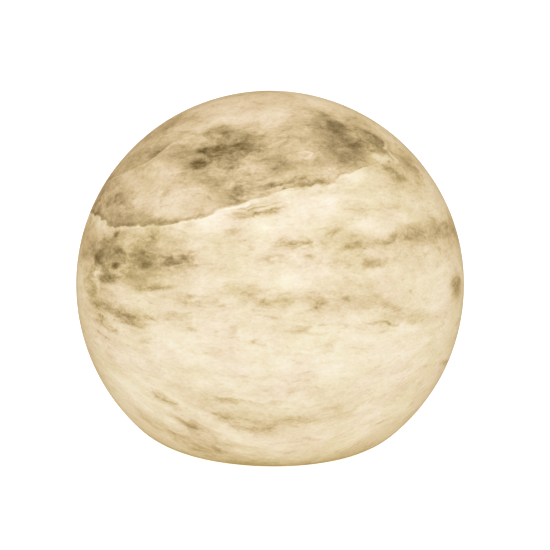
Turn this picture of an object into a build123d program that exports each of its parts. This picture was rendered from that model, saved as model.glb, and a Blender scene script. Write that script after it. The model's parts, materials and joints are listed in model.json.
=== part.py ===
"""Orb table lamp: a hollow alabaster orb that lifts off a rechargeable light unit.

Millimetres, +Z up. The origin is on the table, under the middle of the orb, and the rear is +Y.
"""

import math
import os

from build123d import *

# Stone orb
ORB_DIAMETER = 200.0
ORB_WALL = 12.0
FOOT_LAND = 5.8
FOOT_EDGE_RADIUS = 40.0
FOOT_EDGE_SHARE = 0.7
FOOT_THICKNESS = 19.0
FOOT_GAP = 1.0
HOLLOW_FILLET = 10.0
NOTCH_WIDTH = 16.0
NOTCH_HEIGHT = 9.0
NOTCH_FILLET = 4.0

# Collar bonded into the mouth of the stone, and the gasket that it stands on
SEAT_WIDTH = 4.6
COLLAR_WALL = 2.0
COLLAR_FLANGE = 1.5
COLLAR_LEAD_IN = 0.8
GLUE_GAP = 0.15
GASKET_THICKNESS = 1.0

# Turned base
BASE_FLOOR = 2.2
BASE_CHAMFER = 0.5
BASE_PLAY = 0.4
FACET_DEPTH = 1.4
FOOT_RING_WIDTH = 6.0
FOOT_RING_SEAT = 1.5
FOOT_RING_INSET = 2.6
FOOT_RING_FILLET = 0.4
FOOT_RING_PLAY = 0.1

# Push button and its silicone dome
BUTTON_DIAMETER = 14.0
BUTTON_RECESS = 0.3
BUTTON_PLAY = 0.3
BUTTON_FLANGE = 1.0
BUTTON_FLANGE_WIDTH = 1.5
BUTTON_DISH = 0.5
DOME_BASE_DIAMETER = 11.0
DOME_TOP_DIAMETER = 6.0
DOME_WALL = 0.8

# Driver board and what is soldered to it
BOARD_THICKNESS = 1.6
BOARD_PLAY = 0.5
BOARD_TAB_MARGIN = 0.3
BOARD_BELOW_TOP = 0.2
CONNECTOR_LENGTH = 6.0
CONNECTOR_WIDTH = 5.0
CONNECTOR_HEIGHT = 5.0
CHIP_SIZE = 5.0
CHIP_HEIGHT = 1.5
INDUCTOR_SIZE = 7.0
INDUCTOR_HEIGHT = 4.2
CAPACITOR_DIAMETER = 4.0
CAPACITOR_HEIGHT = 4.6

# Charging socket, with its indicator and light pipe beside it
SOCKET_WIDTH = 8.94
SOCKET_HEIGHT = 3.26
SOCKET_LENGTH = 7.35
SOCKET_WALL = 0.3
SOCKET_SINK = 0.2
SOCKET_CLEAR = 0.74
SOCKET_PLAY = 0.1
TONGUE_GAP = 0.8
TONGUE_THICKNESS = 0.7
TONGUE_LENGTH = 4.6
PIPE_DIAMETER = 2.0
PIPE_GAP = 1.3
PIPE_PLAY = 0.05
INDICATOR_WIDTH = 3.0
INDICATOR_DEPTH = 1.2
INDICATOR_GAP = 0.2

# Battery on its tray
BATTERY_LENGTH = 34.0
BATTERY_WIDTH = 26.0
BATTERY_HEIGHT = 20.0
BATTERY_EDGE = 2.0
BATTERY_ROOM = 1.0
PAD_THICKNESS = 1.0
TRAY_THICKNESS = 1.6
TRAY_PLAY = 0.4
TRAY_LIP = 3.0
TRAY_LIP_WALL = 1.0
TRAY_LEG_DIAMETER = 4.8
TRAY_ABOVE_CONNECTORS = 1.2
WIRE_NOTCH_WIDTH = 10.0

# Leads
WIRE_DIAMETER = 1.2
WIRE_SPACING = 2.0
WIRE_BEND = 3.0
WIRE_GAP_HEIGHT = 3.8
BATTERY_LEAD_DROP = 6.0

# Housing cup, and the spring clips round it
CUP_WALL = 1.6
CUP_TOP = 2.0
CUP_FLANGE = 1.5
CUP_EDGE_FILLET = 1.2
CLIP_COUNT = 3
CLIP_FIRST_ANGLE = 30.0
CLIP_WIDTH = 8.0
CLIP_THICKNESS = 0.5
CLIP_PLAY = 1.0
CLIP_STAND = 1.15
CLIP_CATCH = 0.9
CLIP_BEND = 1.0
CLIP_RISE = 6.0
CLIP_LEAN = 3.2
FLANGE_PLAY = 0.4

# Screws
SCREW_DIAMETER = 1.9
SCREW_HEAD_DIAMETER = 3.8
SCREW_HEAD_HEIGHT = 1.3
SCREW_GRIP = 4.8
DRIVE_ACROSS_FLATS = 1.5
DRIVE_DEPTH = 0.7
THREAD_PLAY = 0.05
HOLE_PLAY = 0.15
HEAD_ROOM = 0.8

# Light post, its strips of light sources, and the opal diffuser
POST_ACROSS_FLATS = 14.0
POST_BORE = 8.0
POST_FLANGE = 3.0
POST_HEIGHT = 60.0
STRIP_MARGIN = 0.6
STRIP_FOOT_GAP = 9.0
STRIP_THICKNESS = 1.0
STRIP_TOP_GAP = 2.0
LED_WIDTH = 2.8
LED_LENGTH = 3.5
LED_HEIGHT = 0.7
LEDS_PER_STRIP = 5
TOP_LED_COUNT = 3
TOP_LED_RADIUS = 4.0
CAP_BOARD_THICKNESS = 1.0
DIFFUSER_WALL = 1.8
DIFFUSER_LEDGE = 1.2
DIFFUSER_DOME_DROP = 5.5
DIFFUSER_PLAY = 0.2
RING_HEIGHT = 6.0
RING_FLOOR = 1.5
RING_PLAY = 0.5
RING_SCREW_COUNT = 3
RING_EDGE_FILLET = 0.8

# Radii, from the battery outwards
screw_radius = SCREW_DIAMETER / 2
head_radius = SCREW_HEAD_DIAMETER / 2
cup_inner_radius = math.hypot(BATTERY_LENGTH / 2, BATTERY_WIDTH / 2) + BATTERY_ROOM
cup_radius = cup_inner_radius + CUP_WALL
clip_screw_radius = cup_radius + HEAD_ROOM + head_radius
clip_radius = clip_screw_radius + head_radius + CLIP_STAND
collar_bore_radius = clip_radius + CLIP_THICKNESS / 2 + CLIP_PLAY
stone_bore_radius = collar_bore_radius + COLLAR_WALL + GLUE_GAP
base_radius = collar_bore_radius + SEAT_WIDTH
rebate_radius = base_radius + BASE_PLAY
foot_radius = rebate_radius + FOOT_LAND
facet_y = base_radius - FACET_DEPTH
pocket_radius = cup_inner_radius - TRAY_PLAY

# Heights, from the table up
pocket_floor = FOOT_GAP + BASE_FLOOR
board_bottom = pocket_floor + SOCKET_CLEAR + SOCKET_HEIGHT
board_top = board_bottom + BOARD_THICKNESS
base_top = board_top + BOARD_BELOW_TOP
flange_bottom = base_top + GASKET_THICKNESS
shoulder_height = flange_bottom + COLLAR_FLANGE
floor_height = FOOT_GAP + FOOT_THICKNESS
tray_bottom = board_top + CONNECTOR_HEIGHT + TRAY_ABOVE_CONNECTORS
tray_top = tray_bottom + TRAY_THICKNESS
battery_bottom = tray_top + PAD_THICKNESS
battery_top = battery_bottom + BATTERY_HEIGHT
cup_ceiling = battery_top + WIRE_GAP_HEIGHT
cup_top = cup_ceiling + CUP_TOP
post_top = cup_top + POST_HEIGHT
socket_height = board_bottom - SOCKET_HEIGHT / 2

# Orb: the lower edge is an arc that touches the sphere and the flat foot
orb_radius = ORB_DIAMETER / 2
hollow_radius = orb_radius - ORB_WALL
foot_edge = min(FOOT_EDGE_RADIUS, FOOT_EDGE_SHARE * (orb_radius - foot_radius))
foot_depth = foot_edge + math.sqrt((orb_radius - foot_edge) ** 2 - foot_radius**2)
orb_height = FOOT_GAP + foot_depth

# Light unit: the post's foot sets the ring, and the ring sets the diffuser
post_corner_radius = POST_ACROSS_FLATS / math.sqrt(3)
post_screw_radius = post_corner_radius + HEAD_ROOM + head_radius
post_flange_radius = post_screw_radius + head_radius + HEAD_ROOM
ring_bore_radius = post_flange_radius + RING_PLAY
diffuser_inner_radius = ring_bore_radius + DIFFUSER_LEDGE
diffuser_radius = diffuser_inner_radius + DIFFUSER_WALL
ring_screw_radius = diffuser_radius + DIFFUSER_PLAY + HEAD_ROOM + head_radius
ring_radius = ring_screw_radius + head_radius + HEAD_ROOM
strip_bottom = cup_top + POST_FLANGE + STRIP_FOOT_GAP
strip_length = post_top - STRIP_TOP_GAP - strip_bottom

# Places shared by several pieces
pipe_x = SOCKET_WIDTH / 2 + PIPE_GAP + PIPE_DIAMETER / 2
tab_width = 2 * pipe_x + INDICATOR_WIDTH + 2 * BOARD_TAB_MARGIN
TRAY_SCREWS = [
    (side * BATTERY_LENGTH / 4, end * (BATTERY_WIDTH / 2 + TRAY_LIP_WALL + HEAD_ROOM + head_radius))
    for side in (-1, 1)
    for end in (-1, 1)
]
connector_y = BATTERY_WIDTH / 2 + CONNECTOR_WIDTH / 2 + TRAY_LIP_WALL + HEAD_ROOM
CLIP_ANGLES = [CLIP_FIRST_ANGLE + 360 / CLIP_COUNT * i for i in range(CLIP_COUNT)]
RING_SCREW_ANGLES = [90 + 360 / RING_SCREW_COUNT * i for i in range(RING_SCREW_COUNT)]
FACE_ANGLES = [30 + 60 * i for i in range(6)]
UP = (Align.CENTER, Align.CENTER, Align.MIN)


def rod(radius, bottom, top, x=0.0, y=0.0):
    """An upright cylinder."""
    return Pos(x, y, bottom) * Cylinder(radius, top - bottom, align=UP)


def tube(outer, inner, bottom, top):
    """An upright ring or tube on the lamp's axis."""
    return rod(outer, bottom, top) - rod(inner, bottom, top)


def block(length, width, bottom, top, x=0.0, y=0.0):
    """A box on a level face, centred at x, y."""
    return Pos(x, y, bottom) * Box(length, width, top - bottom, align=UP)


def turned(edges):
    """A solid turned about the lamp's axis, from edges given as radius and height."""
    return revolve(Plane.XZ * make_face(edges), Axis.Z)


def around(angles, radius):
    """The places on a circle at these angles."""
    return [
        (radius * math.cos(math.radians(a)), radius * math.sin(math.radians(a))) for a in angles
    ]


def screw(under_head, grip):
    """A pan-head screw on the axis, with a hexagon socket, whose head sits at under_head."""
    head = rod(head_radius, under_head, under_head + SCREW_HEAD_HEIGHT)
    head = fillet(head.edges().group_by(Axis.Z)[-1], SCREW_HEAD_HEIGHT / 3)
    drive = extrude(RegularPolygon(DRIVE_ACROSS_FLATS / 2, 6, major_radius=False), DRIVE_DEPTH)
    shank = rod(screw_radius, under_head - grip, under_head)
    return head + shank - Pos(0, 0, under_head + SCREW_HEAD_HEIGHT - DRIVE_DEPTH) * drive


def screws(places, under_head, grip):
    """A set of like screws."""
    return Compound(children=[Pos(x, y, 0) * screw(under_head, grip) for x, y in places])


def holes(places, radius, bottom, top):
    """Round holes to cut, as a list of solids."""
    return [rod(radius, bottom, top, x, y) for x, y in places]


def rounded_section(radius, edge, depth, height):
    """Where an edge arc meets a level face at depth under a sphere's centre: its centre and angle."""
    out = math.sqrt((radius - edge) ** 2 - (depth - edge) ** 2)
    angle = math.degrees(math.atan2(-(depth - edge), out))
    return (out, height - depth + edge), angle


def alabaster_orb():
    """The turned stone shell: sphere, rounded lower edge, flat foot, rebate, mouth and hollow."""
    outer_edge, outer_angle = rounded_section(orb_radius, foot_edge, foot_depth, orb_height)
    hollow_depth = orb_height - floor_height
    inner_edge, inner_angle = rounded_section(hollow_radius, HOLLOW_FILLET, hollow_depth, orb_height)
    middle = (0, orb_height)
    steps = Polyline(
        (foot_radius, FOOT_GAP),
        (rebate_radius, FOOT_GAP),
        (rebate_radius, shoulder_height),
        (stone_bore_radius, shoulder_height),
        (stone_bore_radius, floor_height),
        (inner_edge[0], floor_height),
    )
    outline = [
        CenterArc(middle, orb_radius, outer_angle, 90 - outer_angle),
        CenterArc(outer_edge, foot_edge, -90, 90 + outer_angle),
        steps,
        CenterArc(inner_edge, HOLLOW_FILLET, -90, 90 + inner_angle),
        CenterArc(middle, hollow_radius, inner_angle, 90 - inner_angle),
        Line((0, orb_height + hollow_radius), (0, orb_height + orb_radius)),
    ]
    return turned(outline) - cable_notch()


def cable_notch():
    """The arch at the rear of the foot, through which the charging lead reaches the socket."""
    arch = Pos(0, NOTCH_HEIGHT / 2) * Rectangle(NOTCH_WIDTH, NOTCH_HEIGHT)
    arch = fillet(arch.vertices().group_by(Axis.Y)[-1], NOTCH_FILLET)
    rear = Plane((0, collar_bore_radius, FOOT_GAP), x_dir=(-1, 0, 0), z_dir=(0, 1, 0))
    return extrude(rear * arch, orb_radius)


def mouth_collar():
    """The metal ring bonded into the mouth, whose flange carries the stone."""
    lead_in = collar_bore_radius + COLLAR_LEAD_IN
    outline = Polyline(
        (collar_bore_radius, flange_bottom),
        (rebate_radius - GLUE_GAP, flange_bottom),
        (rebate_radius - GLUE_GAP, shoulder_height),
        (collar_bore_radius + COLLAR_WALL, shoulder_height),
        (collar_bore_radius + COLLAR_WALL, floor_height),
        (lead_in, floor_height),
        (collar_bore_radius, floor_height - COLLAR_LEAD_IN),
        close=True,
    )
    return turned(outline)


def base_plate():
    """The turned base: board pocket, bosses, ring groove, button bore and the rear facet's openings."""
    base = rod(base_radius, FOOT_GAP, base_top)
    base = chamfer(base.edges(), BASE_CHAMFER)
    base -= block(2 * base_radius, 2 * base_radius, 0, base_top + 1, y=facet_y + base_radius)
    base -= rod(pocket_radius, pocket_floor, base_top)
    tab_end = board_tab_end() + BOARD_PLAY
    base -= block(tab_width + 2 * BOARD_PLAY, tab_end, pocket_floor, base_top, y=tab_end / 2)
    for x, y in TRAY_SCREWS:
        base += rod(TRAY_LEG_DIAMETER / 2, pocket_floor, board_bottom, x, y)
    base -= holes(TRAY_SCREWS, screw_radius + THREAD_PLAY, pocket_floor, board_bottom)
    clip_places = around(CLIP_ANGLES, clip_screw_radius)
    base -= holes(clip_places, screw_radius + THREAD_PLAY, base_top - SCREW_GRIP, base_top)
    ring_outer, ring_inner = foot_ring_radii()
    groove_top = FOOT_GAP + FOOT_RING_SEAT
    base -= tube(ring_outer + FOOT_RING_PLAY, ring_inner - FOOT_RING_PLAY, FOOT_GAP, groove_top)
    base -= rod(BUTTON_DIAMETER / 2 + BUTTON_PLAY, FOOT_GAP, pocket_floor)
    base -= socket_block(SOCKET_PLAY, facet_y - SOCKET_LENGTH, facet_y)
    base -= light_pipe(PIPE_PLAY)
    return base


def foot_ring_radii():
    """Outer and inner radius of the silicone ring under the base."""
    outer = base_radius - FOOT_RING_INSET
    return outer, outer - FOOT_RING_WIDTH


def foot_ring():
    """The silicone ring that the lamp stands on."""
    ring = tube(*foot_ring_radii(), 0, FOOT_GAP + FOOT_RING_SEAT)
    return fillet(ring.edges().group_by(Axis.Z)[0], FOOT_RING_FILLET)


def seat_gasket():
    """The soft ring between the base and the collar's flange."""
    return tube(
        base_radius - BASE_CHAMFER - BASE_PLAY / 2,
        collar_bore_radius + BASE_PLAY / 2,
        base_top,
        flange_bottom,
    )


def button_cap():
    """The push button under the base, dished for a fingertip, with the flange that keeps it in."""
    bottom = FOOT_GAP + BUTTON_RECESS
    radius = BUTTON_DIAMETER / 2
    cap = rod(radius, bottom, pocket_floor)
    cap += rod(radius + BUTTON_FLANGE_WIDTH, pocket_floor, pocket_floor + BUTTON_FLANGE)
    dish_radius = (radius**2 + BUTTON_DISH**2) / (2 * BUTTON_DISH)
    return cap - Pos(0, 0, bottom + BUTTON_DISH - dish_radius) * Sphere(dish_radius)


def button_dome():
    """The silicone dome on the board that returns the button."""
    bottom = pocket_floor + BUTTON_FLANGE
    foot = board_bottom - DOME_WALL
    outer, inner = DOME_BASE_DIAMETER / 2, DOME_TOP_DIAMETER / 2
    outline = Polyline(
        (0, bottom),
        (inner, bottom),
        (outer - DOME_WALL, foot),
        (outer, foot),
        (outer, board_bottom),
        (outer - 2 * DOME_WALL, board_bottom),
        (inner - DOME_WALL, bottom + 2 * DOME_WALL),
        (0, bottom + 2 * DOME_WALL),
        close=True,
    )
    return turned(outline)


def board_tab_end():
    """How far back the board's tab reaches, under the socket."""
    return facet_y - SOCKET_SINK - SOCKET_LENGTH / 4


def driver_board():
    """The round circuit board, with a tab to the rear that carries the charging socket."""
    board = rod(pocket_radius - BOARD_PLAY, board_bottom, board_top)
    tab_end = board_tab_end()
    board += block(tab_width, tab_end, board_bottom, board_top, y=tab_end / 2)
    return board - holes(TRAY_SCREWS, screw_radius + HOLE_PLAY, board_bottom, board_top)


def socket_block(grow, front_start, front_end):
    """A rounded bar of the socket's section, along Y."""
    width, height = SOCKET_WIDTH + 2 * grow, SOCKET_HEIGHT + 2 * grow
    section = RectangleRounded(width, height, height * 0.48)
    start = Plane((0, front_start, socket_height), x_dir=(-1, 0, 0), z_dir=(0, 1, 0))
    return extrude(start * section, front_end - front_start)


def usb_socket():
    """The charging socket's steel shell, open to the rear."""
    front = facet_y - SOCKET_SINK
    shell = socket_block(0, front - SOCKET_LENGTH, front)
    return shell - socket_block(-SOCKET_WALL, front - SOCKET_LENGTH + 2 * SOCKET_WALL, front)


def usb_tongue():
    """The contact tongue in the socket."""
    back = facet_y - SOCKET_SINK - SOCKET_LENGTH + 2 * SOCKET_WALL
    low, high = socket_height - TONGUE_THICKNESS / 2, socket_height + TONGUE_THICKNESS / 2
    width = SOCKET_WIDTH - 2 * SOCKET_WALL - 2 * TONGUE_GAP
    return block(width, TONGUE_LENGTH, low, high, y=back + TONGUE_LENGTH / 2)


def light_pipe(grow=0.0):
    """The clear rod that carries the charge indicator's light to the rear facet."""
    start = indicator_front() + INDICATOR_GAP
    plane = Plane((pipe_x, start, socket_height), z_dir=(0, 1, 0))
    return extrude(plane * Circle(PIPE_DIAMETER / 2 + grow), facet_y - start)


def indicator_front():
    """Where the charge indicator's lit face is."""
    return board_tab_end() - INDICATOR_GAP


def charge_indicator():
    """The small light source under the board's tab."""
    y = indicator_front() - INDICATOR_DEPTH / 2
    low = socket_height - PIPE_DIAMETER / 2
    return block(INDICATOR_WIDTH, INDICATOR_DEPTH, low, board_bottom, pipe_x, y)


def controller_chip():
    """The charge and dimming controller."""
    return block(CHIP_SIZE, CHIP_SIZE, board_top, board_top + CHIP_HEIGHT, x=-INDUCTOR_SIZE)


def power_inductor():
    """The converter's moulded inductor."""
    body = block(INDUCTOR_SIZE, INDUCTOR_SIZE, board_top, board_top + INDUCTOR_HEIGHT, x=INDUCTOR_SIZE)
    return chamfer(body.edges().filter_by(Axis.Z), INDUCTOR_SIZE / 6)


def capacitors():
    """Two can capacitors beside the controller."""
    places = [(-INDUCTOR_SIZE, side * (CHIP_SIZE / 2 + CAPACITOR_DIAMETER)) for side in (-1, 1)]
    cans = [rod(CAPACITOR_DIAMETER / 2, board_top, board_top + CAPACITOR_HEIGHT, x, y) for x, y in places]
    return Compound(children=[fillet(c.edges().group_by(Axis.Z)[-1], CAPACITOR_DIAMETER / 10) for c in cans])


def connector(side):
    """A two-way connector on the board, at the front (-1) or the rear (1)."""
    top = board_top + CONNECTOR_HEIGHT
    body = block(CONNECTOR_LENGTH, CONNECTOR_WIDTH, board_top, top, y=side * connector_y)
    return chamfer(body.edges().filter_by(Axis.Z), CONNECTOR_WIDTH / 10)


def battery_tray():
    """The moulded tray on four legs, with a low lip round the battery and notches for the leads."""
    tray = rod(cup_inner_radius - TRAY_PLAY, tray_bottom, tray_top)
    length, width = BATTERY_LENGTH + 2 * TRAY_PLAY, BATTERY_WIDTH + 2 * TRAY_PLAY
    lip_top = tray_top + TRAY_LIP
    lip = block(length + 2 * TRAY_LIP_WALL, width + 2 * TRAY_LIP_WALL, tray_top, lip_top)
    tray += lip & rod(cup_inner_radius - TRAY_PLAY, tray_top, lip_top)
    tray -= block(length, width, tray_top, lip_top)
    for side in (-1, 1):
        y = side * (connector_y + cup_inner_radius / 2 - CONNECTOR_WIDTH / 2)
        tray -= block(WIRE_NOTCH_WIDTH, cup_inner_radius, tray_bottom, tray_top, y=y)
    for x, y in TRAY_SCREWS:
        tray += rod(TRAY_LEG_DIAMETER / 2, board_top, tray_bottom, x, y)
    return tray - holes(TRAY_SCREWS, screw_radius + HOLE_PLAY, board_top, tray_top)


def battery_pad():
    """The foam pad that sticks the battery to its tray."""
    return block(BATTERY_LENGTH, BATTERY_WIDTH, tray_top, battery_bottom)


def battery_pack():
    """Two stacked pouch cells in one wrap."""
    pack = block(BATTERY_LENGTH, BATTERY_WIDTH, battery_bottom, battery_top)
    return fillet(pack.edges().filter_by(Axis.X), BATTERY_EDGE)


def lead(points):
    """A round insulated wire along straight runs and arcs."""
    path = FilletPolyline(*points, radius=WIRE_BEND)
    start = Plane(path @ 0, z_dir=path % 0)
    return sweep(start * Circle(WIRE_DIAMETER / 2), path)


def battery_lead(x):
    """From the rear connector up beside the battery and into its side."""
    bottom = board_top + CONNECTOR_HEIGHT
    top = battery_top - BATTERY_LEAD_DROP
    return lead([(x, connector_y, bottom), (x, connector_y, top), (x, BATTERY_WIDTH / 2, top)])


def led_lead(x):
    """From the front connector over the battery, through the cup and up inside the post."""
    bottom = board_top + CONNECTOR_HEIGHT
    level = battery_top + WIRE_GAP_HEIGHT / 2
    return lead([(x, -connector_y, bottom), (x, -connector_y, level), (x, 0, level), (x, 0, post_top)])


def housing_cup():
    """The white cup over the battery and board: flange, wall and top in one piece."""
    flange_radius = collar_bore_radius - FLANGE_PLAY
    cup = rod(cup_radius, base_top, cup_top)
    cup = fillet(cup.edges().group_by(Axis.Z)[-1], CUP_EDGE_FILLET)
    cup += rod(flange_radius, base_top, base_top + CUP_FLANGE)
    cup -= rod(cup_inner_radius, base_top, cup_ceiling)
    cup -= rod(POST_BORE / 2, cup_ceiling, cup_top)
    clip_places = around(CLIP_ANGLES, clip_screw_radius)
    cup -= holes(clip_places, screw_radius + HOLE_PLAY, base_top, base_top + CUP_FLANGE)
    top_places = around(RING_SCREW_ANGLES, ring_screw_radius) + around(FACE_ANGLES[::2], post_screw_radius)
    return cup - holes(top_places, screw_radius + THREAD_PLAY, cup_ceiling, cup_top)


def clip_spring():
    """A leaf spring on the cup's flange at angle 0, whose bend snaps over the collar."""
    foot = base_top + CUP_FLANGE
    middle = foot + CLIP_THICKNESS / 2
    catch = collar_bore_radius + CLIP_CATCH - CLIP_THICKNESS / 2
    reach = catch - clip_radius
    path = FilletPolyline(
        (cup_radius + HEAD_ROOM / 2, middle),
        (clip_radius, middle),
        (clip_radius, floor_height + COLLAR_LEAD_IN - reach),
        (catch, floor_height + COLLAR_LEAD_IN),
        (catch - CLIP_LEAN, floor_height + COLLAR_LEAD_IN + CLIP_RISE),
        radius=CLIP_BEND,
    )
    leaf = extrude(Plane.XZ * trace(path, CLIP_THICKNESS), CLIP_WIDTH / 2, both=True)
    return leaf - rod(screw_radius + HOLE_PLAY, foot, foot + CLIP_THICKNESS, clip_screw_radius)


def light_post():
    """The hexagonal metal post that carries the strips, with a round foot and a bore for the leads."""
    hexagon = RegularPolygon(POST_ACROSS_FLATS / 2, 6, major_radius=False)
    post = Pos(0, 0, cup_top) * extrude(hexagon, POST_HEIGHT)
    post += rod(post_flange_radius, cup_top, cup_top + POST_FLANGE)
    post -= rod(POST_BORE / 2, cup_top, post_top)
    places = around(FACE_ANGLES[::2], post_screw_radius)
    return post - holes(places, screw_radius + HOLE_PLAY, cup_top, cup_top + POST_FLANGE)


def on_post_face(angle, outwards, bottom, length, width, depth):
    """A plate on one face of the post, from outwards on, turned to that face's angle."""
    x = POST_ACROSS_FLATS / 2 + outwards + depth / 2
    return Rot(0, 0, angle) * Pos(x, 0, bottom) * Box(depth, width, length, align=UP)


def led_strip(angle):
    """A strip of board on one face of the post."""
    width = POST_ACROSS_FLATS / math.sqrt(3) - 2 * STRIP_MARGIN
    return on_post_face(angle, 0, strip_bottom, strip_length, width, STRIP_THICKNESS)


def strip_leds(angle):
    """The light sources along one strip."""
    pitch = strip_length / LEDS_PER_STRIP
    starts = [strip_bottom + pitch * (i + 0.5) - LED_LENGTH / 2 for i in range(LEDS_PER_STRIP)]
    leds = [on_post_face(angle, STRIP_THICKNESS, z, LED_LENGTH, LED_WIDTH, LED_HEIGHT) for z in starts]
    return Compound(children=leds)


def cap_board():
    """The hexagonal board on top of the post, where the leads end."""
    return Pos(0, 0, post_top) * extrude(
        RegularPolygon(POST_ACROSS_FLATS / 2, 6, major_radius=False), CAP_BOARD_THICKNESS
    )


def cap_leds():
    """The light sources on the cap board."""
    bottom = post_top + CAP_BOARD_THICKNESS
    angles = [90 + 360 / TOP_LED_COUNT * i for i in range(TOP_LED_COUNT)]
    led = Pos(TOP_LED_RADIUS, 0, bottom) * Box(LED_LENGTH, LED_WIDTH, LED_HEIGHT, align=UP)
    return Compound(children=[Rot(0, 0, a) * led for a in angles])


def diffuser_ring():
    """The ring on the cup in which the diffuser stands."""
    top = cup_top + RING_HEIGHT
    ring = rod(ring_radius, cup_top, top)
    ring = fillet(ring.edges().group_by(Axis.Z)[-1], RING_EDGE_FILLET)
    ring -= rod(ring_bore_radius, cup_top, top)
    ring -= rod(diffuser_radius + DIFFUSER_PLAY, cup_top + RING_FLOOR, top)
    places = around(RING_SCREW_ANGLES, ring_screw_radius)
    ring -= holes(places, head_radius + HOLE_PLAY, top - SCREW_HEAD_HEIGHT, top)
    return ring - holes(places, screw_radius + HOLE_PLAY, cup_top, top)


def diffuser():
    """The opal tube with a domed end that stands over the post."""
    bottom = cup_top + RING_FLOOR
    shoulder = post_top - DIFFUSER_DOME_DROP
    outline = [
        Line((diffuser_inner_radius, bottom), (diffuser_radius, bottom)),
        Line((diffuser_radius, bottom), (diffuser_radius, shoulder)),
        CenterArc((0, shoulder), diffuser_radius, 0, 90),
        Line((0, shoulder + diffuser_radius), (0, shoulder + diffuser_inner_radius)),
        CenterArc((0, shoulder), diffuser_inner_radius, 0, 90),
        Line((diffuser_inner_radius, shoulder), (diffuser_inner_radius, bottom)),
    ]
    return turned(outline)


def lamp():
    """Every piece of the lamp, by name."""
    ring_top = cup_top + RING_HEIGHT - SCREW_HEAD_HEIGHT
    pieces = {
        "alabaster_orb": alabaster_orb(),
        "mouth_collar": mouth_collar(),
        "base_plate": base_plate(),
        "foot_ring": foot_ring(),
        "seat_gasket": seat_gasket(),
        "button_cap": button_cap(),
        "button_dome": button_dome(),
        "driver_board": driver_board(),
        "controller_chip": controller_chip(),
        "power_inductor": power_inductor(),
        "capacitors": capacitors(),
        "battery_connector": connector(1),
        "led_connector": connector(-1),
        "usb_socket": usb_socket(),
        "usb_tongue": usb_tongue(),
        "charge_indicator": charge_indicator(),
        "light_pipe": light_pipe(),
        "battery_tray": battery_tray(),
        "tray_screws": screws(TRAY_SCREWS, tray_top, tray_top - pocket_floor - THREAD_PLAY),
        "battery_pad": battery_pad(),
        "battery_pack": battery_pack(),
        "battery_lead_red": battery_lead(WIRE_SPACING / 2),
        "battery_lead_black": battery_lead(-WIRE_SPACING / 2),
        "led_lead_red": led_lead(WIRE_SPACING / 2),
        "led_lead_black": led_lead(-WIRE_SPACING / 2),
        "housing_cup": housing_cup(),
        "clip_screws": screws(
            around(CLIP_ANGLES, clip_screw_radius),
            base_top + CUP_FLANGE + CLIP_THICKNESS,
            CUP_FLANGE + CLIP_THICKNESS + SCREW_GRIP - THREAD_PLAY,
        ),
        "light_post": light_post(),
        "post_screws": screws(
            around(FACE_ANGLES[::2], post_screw_radius), cup_top + POST_FLANGE, POST_FLANGE + CUP_TOP
        ),
        "cap_board": cap_board(),
        "cap_leds": cap_leds(),
        "diffuser_ring": diffuser_ring(),
        "ring_screws": screws(
            around(RING_SCREW_ANGLES, ring_screw_radius), ring_top, ring_top - cup_ceiling
        ),
        "diffuser": diffuser(),
    }
    for i, angle in enumerate(CLIP_ANGLES, 1):
        pieces[f"clip_spring_{i}"] = Rot(0, 0, angle) * clip_spring()
    for i, angle in enumerate(FACE_ANGLES, 1):
        pieces[f"led_strip_{i}"] = led_strip(angle)
        pieces[f"strip_leds_{i}"] = strip_leds(angle)
    return pieces


os.makedirs("parts", exist_ok=True)
for name, piece in lamp().items():
    export_step(piece, f"parts/{name}.step")
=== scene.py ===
"""Looks of the orb table lamp: a lit alabaster orb over its rechargeable light unit.

Metres, +Z up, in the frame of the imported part. The front is -Y and the cable notch is at the rear.
"""

import json
import math

import bmesh
import bpy
from mathutils import Matrix, Vector, noise


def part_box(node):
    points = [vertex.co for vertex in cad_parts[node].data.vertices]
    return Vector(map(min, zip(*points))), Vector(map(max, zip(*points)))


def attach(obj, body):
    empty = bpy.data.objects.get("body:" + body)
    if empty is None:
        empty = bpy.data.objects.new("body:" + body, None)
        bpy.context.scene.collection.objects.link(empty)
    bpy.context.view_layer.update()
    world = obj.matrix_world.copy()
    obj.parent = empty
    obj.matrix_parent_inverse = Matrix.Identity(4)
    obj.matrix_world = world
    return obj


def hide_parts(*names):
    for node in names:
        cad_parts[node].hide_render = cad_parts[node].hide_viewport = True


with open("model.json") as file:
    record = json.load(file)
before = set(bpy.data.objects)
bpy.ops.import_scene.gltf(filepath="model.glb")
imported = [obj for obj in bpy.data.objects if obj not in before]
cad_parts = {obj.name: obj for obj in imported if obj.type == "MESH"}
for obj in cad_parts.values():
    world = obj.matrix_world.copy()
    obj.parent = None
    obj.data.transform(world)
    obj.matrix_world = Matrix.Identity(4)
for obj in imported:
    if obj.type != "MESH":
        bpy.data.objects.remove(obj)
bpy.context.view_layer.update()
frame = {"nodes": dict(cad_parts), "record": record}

# Camera, at the photograph's viewing angle and framing
PICTURE = 550
LENS = 105.0
SENSOR = 36.0
CAMERA_DISTANCE = 0.831
CAMERA_ELEVATION = math.radians(11.0)
CAMERA_ROLL = math.radians(1.25)
CAMERA_SHIFT = (0.0089, 0.0178)

# Stone orb, from the frame where it says
ORB_LOW, ORB_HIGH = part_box("alabaster_orb")
COLLAR_LOW, COLLAR_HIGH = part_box("mouth_collar")
ORB_RADIUS = (ORB_HIGH.x - ORB_LOW.x) / 2
ORB_CENTRE = Vector((0, 0, ORB_HIGH.z - ORB_RADIUS))
ORB_WALL = 0.012
FOOT_EDGE_RADIUS = 0.040
HOLLOW_FILLET = 0.010
GLUE_GAP = 0.00015
COLLAR_FLANGE = 0.0015
MOUTH_STEP = 0.00285
ARRIS = 0.0006
NOTCH_WIDTH = 0.016
NOTCH_HEIGHT = 0.009
NOTCH_FILLET = 0.004
TURNING_WAVE = 0.00012
TURNING_WAVE_SCALE = 22.0

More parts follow.
